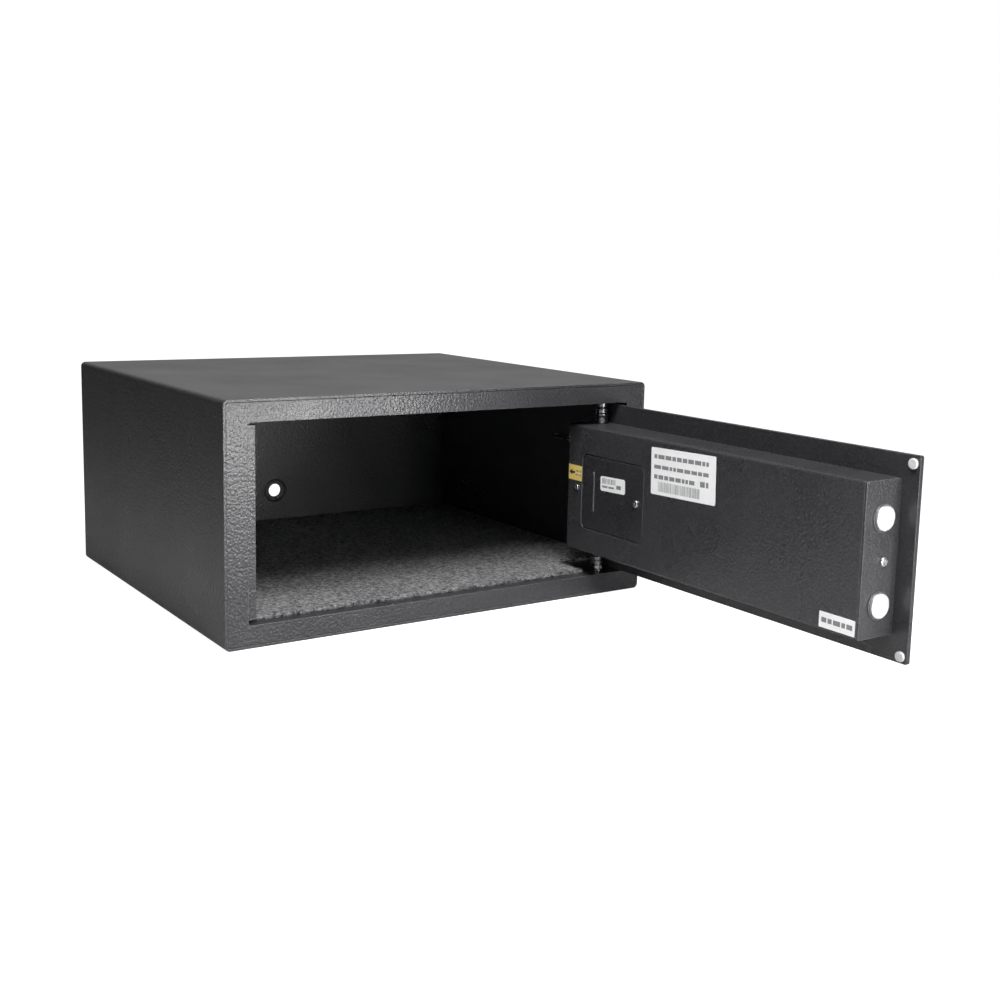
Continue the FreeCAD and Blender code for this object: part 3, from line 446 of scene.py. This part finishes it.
def label(name, s, z, width, height, radius, tilt, stock, prints):
    """A label with its printed marks; the marks are outlines about the label's centre."""
    matrix = on_case(s, z, tilt)
    points, faces = flat_solid([rounded_outline(width, height, radius)], LABEL_T, 0.01 * MM)
    sticker = mesh_object(name, points, faces, stock)
    sticker.matrix_world = matrix
    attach(sticker, "door")
    for index, (material, outlines) in enumerate(prints):
        points, faces = flat_solid(outlines, INK_T, LABEL_T + 0.015 * MM)
        marks = mesh_object(f"{name}_print_{index}", points, faces, material)
        marks.matrix_world = matrix
        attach(marks, "door")


def bar(x, y, width, height):
    return [(x, y), (x + width, y), (x + width, y + height), (x, y + height)]


def grey_lines(left, right, rows, height, seed):
    """Rows of plain bars where a label would carry words."""
    pick = random.Random(seed)
    bars = []
    for y in rows:
        x = left
        while x < right - 2.5 * MM:
            width = min(pick.uniform(3.0, 9.0) * MM, right - x)
            bars.append(bar(x, y, width, height))
            x += width + 1.3 * MM
    return bars


def stripe_code(left, right, low, height, seed):
    """Upright stripes of uneven widths."""
    pick = random.Random(seed)
    bars = []
    x = left
    while x < right:
        width = pick.choice((0.3, 0.5, 0.8)) * MM
        bars.append(bar(x, low, width, height))
        x += width + pick.choice((0.35, 0.55, 0.8)) * MM
    return bars


def case_labels():
    label("maker_label", s=146.5 * MM, z=135.1 * MM, width=81.2 * MM, height=41.0 * MM, radius=1.5 * MM,
          tilt=math.radians(1.8), stock=WHITE_PAPER, prints=[
        (GREY_INK, grey_lines(-36.5 * MM, 32 * MM, (11.0 * MM,), 3.6 * MM, 1)
         + grey_lines(-36.5 * MM, 33 * MM, (2.2 * MM,), 3.2 * MM, 2)
         + grey_lines(-36.5 * MM, 15 * MM, (-6.6 * MM,), 3.6 * MM, 3)
         + grey_lines(22 * MM, 32 * MM, (-7.0 * MM,), 4.6 * MM, 9)
         + stripe_code(-31 * MM, 22 * MM, -17.4 * MM, 8.4 * MM, 4)),
    ])
    label("lid_label", s=53.4 * MM, z=112.0 * MM, width=35.4 * MM, height=13.5 * MM, radius=2.0 * MM,
          tilt=math.radians(2.0), stock=WHITE_PAPER, prints=[
        (GREY_INK, stripe_code(-15 * MM, 4 * MM, 0.2 * MM, 4.8 * MM, 5)
         + grey_lines(5.5 * MM, 15 * MM, (-3.0 * MM,), 3.4 * MM, 10)
         + grey_lines(-15 * MM, 3 * MM, (-3.6 * MM,), 1.7 * MM, 6)),
    ])
    label("corner_label", s=323.3 * MM, z=50.5 * MM, width=34.8 * MM, height=12.3 * MM, radius=0.8 * MM,
          tilt=0.0, stock=WHITE_PAPER, prints=[
        (GREY_INK, grey_lines(-15 * MM, 15 * MM, (-1.9 * MM,), 3.8 * MM, 7)),
    ])
    arrow = [(-9.3, 0.0), (-4.6, 2.9), (-4.6, 1.1), (-0.6, 1.1), (-0.6, -1.1), (-4.6, -1.1), (-4.6, -2.9)]
    label("arrow_sticker", s=-2.7 * MM, z=115.4 * MM, width=20.0 * MM, height=14.2 * MM, radius=0.6 * MM,
          tilt=0.0, stock=YELLOW_PAPER, prints=[
        (BLACK_INK, [[(x * MM, y * MM) for x, y in arrow]]),
        (GREY_INK, grey_lines(0.6 * MM, 9.0 * MM, (1.2 * MM, -2.4 * MM), 1.3 * MM, 8)),
    ])


LEGEND_SIZE = 7.6 * MM
LEGEND_T = 0.03 * MM


def key_legends():
    """Digits and two signs on the keys, upright as seen from outside the door."""
    axes = Matrix(((0, 0, 1), (1, 0, 0), (0, 1, 0))).to_4x4()
    for name in FINISHES[KEY]:
        word = {"clear": "C", "lock": "#"}.get(name[4:], name[4:])
        low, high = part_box(name)
        curve = bpy.data.curves.new(name + "_legend", "FONT")
        curve.body = word
        curve.size = LEGEND_SIZE
        curve.extrude = LEGEND_T
        curve.align_x = "CENTER"
        curve.align_y = "CENTER"
        text = bpy.data.objects.new("text", curve)
        mesh = bpy.data.meshes.new_from_object(text)
        bpy.data.objects.remove(text)
        legend = bpy.data.objects.new(name + "_legend", mesh)
        bpy.context.scene.collection.objects.link(legend)
        mesh.materials.clear()
        mesh.materials.append(WHITE_INK)
        at = (high.x + 0.02 * MM, (low.y + high.y) / 2, (low.z + high.z) / 2)
        legend.matrix_world = Matrix.Translation(at) @ axes
        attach(legend, "button_" + name[4:])


# Felt mat -----------------------------------------------------------------------

FELT_STEP = 2.0 * MM
FELT_LUMP = 0.35 * MM
FELT_INSET = 0.6 * MM
FRONT_INSET = 0.9 * MM
EDGE_DROP = 0.9 * MM
EDGE_WANDER = 0.5 * MM
FRONT_FIBRES = 5200
NOTCH_FIBRES = 900
TOP_FIBRES = 16000
FIBRE_RADIUS = 0.07 * MM
NOTCH_X = HINGE[0] - 19.1 * MM
NOTCH_Y = MAT_LOW.y + 43.5 * MM
LATCH_X = MAT_LOW.x + 28.0 * MM
LATCH_Y = MAT_LOW.y + 16.0 * MM


def inside_mat(x, y):
    return not (x > NOTCH_X and y < NOTCH_Y) and not (x < LATCH_X and y < LATCH_Y)


def felt_mat():
    """Closed slab with a lumpy top and a ragged front edge."""
    columns = int((MAT_HIGH.x - MAT_LOW.x) / FELT_STEP)
    rows = int((MAT_HIGH.y - MAT_LOW.y) / FELT_STEP)
    xs = np.linspace(MAT_LOW.x + FELT_INSET, MAT_HIGH.x - FELT_INSET, columns + 1)
    ys = np.linspace(MAT_LOW.y + FRONT_INSET, MAT_HIGH.y - FELT_INSET, rows + 1)
    used = [
        [inside_mat((xs[i] + xs[i + 1]) / 2, (ys[j] + ys[j + 1]) / 2) for j in range(rows)]
        for i in range(columns)
    ]

    def cell(i, j):
        return 0 <= i < columns and 0 <= j < rows and used[i][j]

    index, points = {}, []
    for i in range(columns + 1):
        for j in range(rows + 1):
            around = [cell(i - 1, j - 1), cell(i, j - 1), cell(i - 1, j), cell(i, j)]
            if not any(around):
                continue
            at = Vector((xs[i], ys[j], 0.0))
            lump = noise.noise(at * 350.0) + 0.6 * noise.noise(at * 800.0)
            edge = not all(around)
            x, y = at.x, at.y
            if edge:
                x += EDGE_WANDER * noise.noise(at * 600.0 + Vector((7, 0, 0)))
                y += EDGE_WANDER * noise.noise(at * 600.0 + Vector((0, 7, 0)))
            top = MAT_HIGH.z - FELT_INSET + FELT_LUMP * lump - (EDGE_DROP if edge else 0.0)
            index[i, j] = len(points)
            points.append((x, y, top))
            points.append((x, y, MAT_LOW.z + 0.05 * MM))
    faces = []
    for i in range(columns):
        for j in range(rows):
            if not used[i][j]:
                continue
            a, b, c, d = index[i, j], index[i + 1, j], index[i + 1, j + 1], index[i, j + 1]
            faces.append((a, b, c, d))
            faces.append((a + 1, d + 1, c + 1, b + 1))
            for open_side, p, q in (
                (not cell(i, j - 1), a, b), (not cell(i + 1, j), b, c),
                (not cell(i, j + 1), c, d), (not cell(i - 1, j), d, a),
            ):
                if open_side:
                    faces.append((p, p + 1, q + 1, q))
    mat = mesh_object("felt_mat", points, faces, FELT)
    for polygon in mat.data.polygons:
        polygon.use_smooth = True
    return mat


def felt_fibres():
    """Loose fibres standing out of the mat's top and front edges."""
    pick = random.Random(11)
    points, faces = [], []

    def fibre(root, tip, width):
        along = (tip - root).normalized()
        across = Vector((pick.uniform(-1, 1), pick.uniform(-1, 1), pick.uniform(-1, 1)))
        side = along.cross(across).normalized()
        other = along.cross(side)
        start = len(points)
        points.extend([
            root + side * width,
            root - side * width * 0.5 + other * width,
            root - side * width * 0.5 - other * width,
            tip,
        ])
        faces.extend([(start, start + 2, start + 1), (start, start + 1, start + 3),
                      (start + 1, start + 2, start + 3), (start + 2, start, start + 3)])

    def grow_fibre(x, y, z, lean, length):
        root = Vector((x, y, z))
        push = Vector((
            lean[0] + pick.uniform(-0.8, 0.8),
            lean[1] + pick.uniform(-0.6, 0.6),
            pick.uniform(0.05, 0.7),
        ))
        fibre(root, root + push.normalized() * length, FIBRE_RADIUS)

    top = MAT_HIGH.z - 0.7 * MM
    for _ in range(FRONT_FIBRES):
        x = pick.uniform(LATCH_X + 1.5 * MM, NOTCH_X - 1 * MM)
        grow_fibre(x, MAT_LOW.y + pick.uniform(1.0, 2.5) * MM, top - pick.uniform(0.0, 2.6) * MM, (0, -0.9),
                   pick.uniform(0.6, 2.0) * MM)
    for _ in range(NOTCH_FIBRES):
        grow_fibre(NOTCH_X - pick.uniform(0.5, 1.5) * MM, pick.uniform(MAT_LOW.y + 1 * MM, NOTCH_Y),
                   top - pick.uniform(0.0, 2.0) * MM, (0.9, 0), pick.uniform(0.6, 1.8) * MM)
    for _ in range(TOP_FIBRES):
        x = pick.uniform(MAT_LOW.x + 2 * MM, MAT_HIGH.x - 2 * MM)
        y = MAT_LOW.y + 2 * MM + (MAT_HIGH.y - MAT_LOW.y - 4 * MM) * pick.random() ** 1.6
        if inside_mat(x + 2 * MM, y - 2 * MM):
            grow_fibre(x, y, top - 0.2 * MM, (0, 0), pick.uniform(0.5, 1.3) * MM)
    return mesh_object("felt_fibres", points, faces, FELT)


def lay_mat():
    mat = felt_mat()
    fibres = felt_fibres()
    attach(mat, "safe_body")
    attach(fibres, "safe_body")
    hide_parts("carpet_mat")


# Stage --------------------------------------------------------------------------

# The floor's own glow: what the camera sees of it, and what the rest of the scene gets
FLOOR_WHITE = 1.0
FLOOR_GLOW = 0.0
FLOOR_REACH = 30.0
FLOOR_GAP = 0.2 * MM
SKY = 0.07
# Name, place, aim, size and power in watts
LIGHTS = (
    ("key", (0.30, -1.5, 0.30), (-0.1, -0.2, 0.1), (0.45, 0.40), 1.0),
    ("low_key", (0.2, -1.1, 0.09), (-0.1, -0.2, 0.1), (0.5, 0.15), 5.2),
    ("over_door", (-0.15, -0.62, 1.0), (0.02, -0.25, 0.1), (0.45, 0.45), 17.0),
    ("left", (-2.2, -1.4, 1.0), (0.1, -0.3, 0.1), (1.4, 1.4), 3.0),
    ("back", (1.4, 2.6, 0.9), (0.0, 0.0, 0.2), (4.0, 1.8), 7.0),
)


def pale_floor():
    points = [(x * FLOOR_REACH, y * FLOOR_REACH, 0) for x, y in ((-1, -1), (1, -1), (1, 1), (-1, 1))]
    material, tree, shader = new_material("studio_floor")
    base = blend_colors(tree, span(tree, grain(tree, 3.0), 0.3, 0.7), (0.48, 0.48, 0.48), (0.52, 0.52, 0.52))
    seen = add(tree, "ShaderNodeLightPath").outputs["Is Camera Ray"]
    feed(tree, shader, Base_Color=base, Roughness=0.9, Emission_Color=(1.0, 1.0, 1.0, 1.0),
         Emission_Strength=span(tree, seen, 0.0, 1.0, FLOOR_GLOW, FLOOR_WHITE))
    floor = mesh_object("studio_floor", points, [(0, 1, 2, 3)], material)
    floor.location.z = CAD_BOX[0].z - FLOOR_GAP


def area_light(name, at, aim, size, power):
    light = bpy.data.lights.new(name, "AREA")
    light.shape = "RECTANGLE"
    light.size, light.size_y = size
    light.energy = power
    lamp = bpy.data.objects.new(name, light)
    bpy.context.scene.collection.objects.link(lamp)
    lamp.location = at
    lamp.rotation_euler = (Vector(aim) - Vector(at)).to_track_quat("-Z", "Y").to_euler()


def studio_light():
    world = bpy.data.worlds.new("studio")
    bpy.context.scene.world = world
    world.use_nodes = True
    tree = world.node_tree
    background = tree.nodes["Background"]
    seen = add(tree, "ShaderNodeLightPath").outputs["Is Camera Ray"]
    sky = blend_colors(tree, seen, (SKY, SKY, SKY * 1.03), (1.0, 1.0, 1.0))
    feed(tree, background, Color=sky, Strength=1.0)
    for lamp in LIGHTS:
        area_light(*lamp)


def camera():
    forward = Vector((
        math.sin(CAMERA_YAW) * math.cos(CAMERA_PITCH),
        math.cos(CAMERA_YAW) * math.cos(CAMERA_PITCH),
        -math.sin(CAMERA_PITCH),
    ))
    level = Vector((math.cos(CAMERA_YAW), -math.sin(CAMERA_YAW), 0.0))
    upright = level.cross(forward)
    right = math.cos(CAMERA_ROLL) * level + math.sin(CAMERA_ROLL) * upright
    up = -math.sin(CAMERA_ROLL) * level + math.cos(CAMERA_ROLL) * upright
    data = bpy.data.cameras.new("camera")
    data.lens = LENS
    data.shift_x, data.shift_y = SHIFT
    eye = bpy.data.objects.new("camera", data)
    bpy.context.scene.collection.objects.link(eye)
    eye.matrix_world = Matrix.Translation(CAMERA_AT) @ Matrix((right, up, -forward)).transposed().to_4x4()
    bpy.context.scene.camera = eye


def main():
    camera()
    bpy.context.scene.view_settings.view_transform = "Standard"
    finish_nodes()
    lay_mat()
    case_labels()
    key_legends()
    pale_floor()
    studio_light()


main()
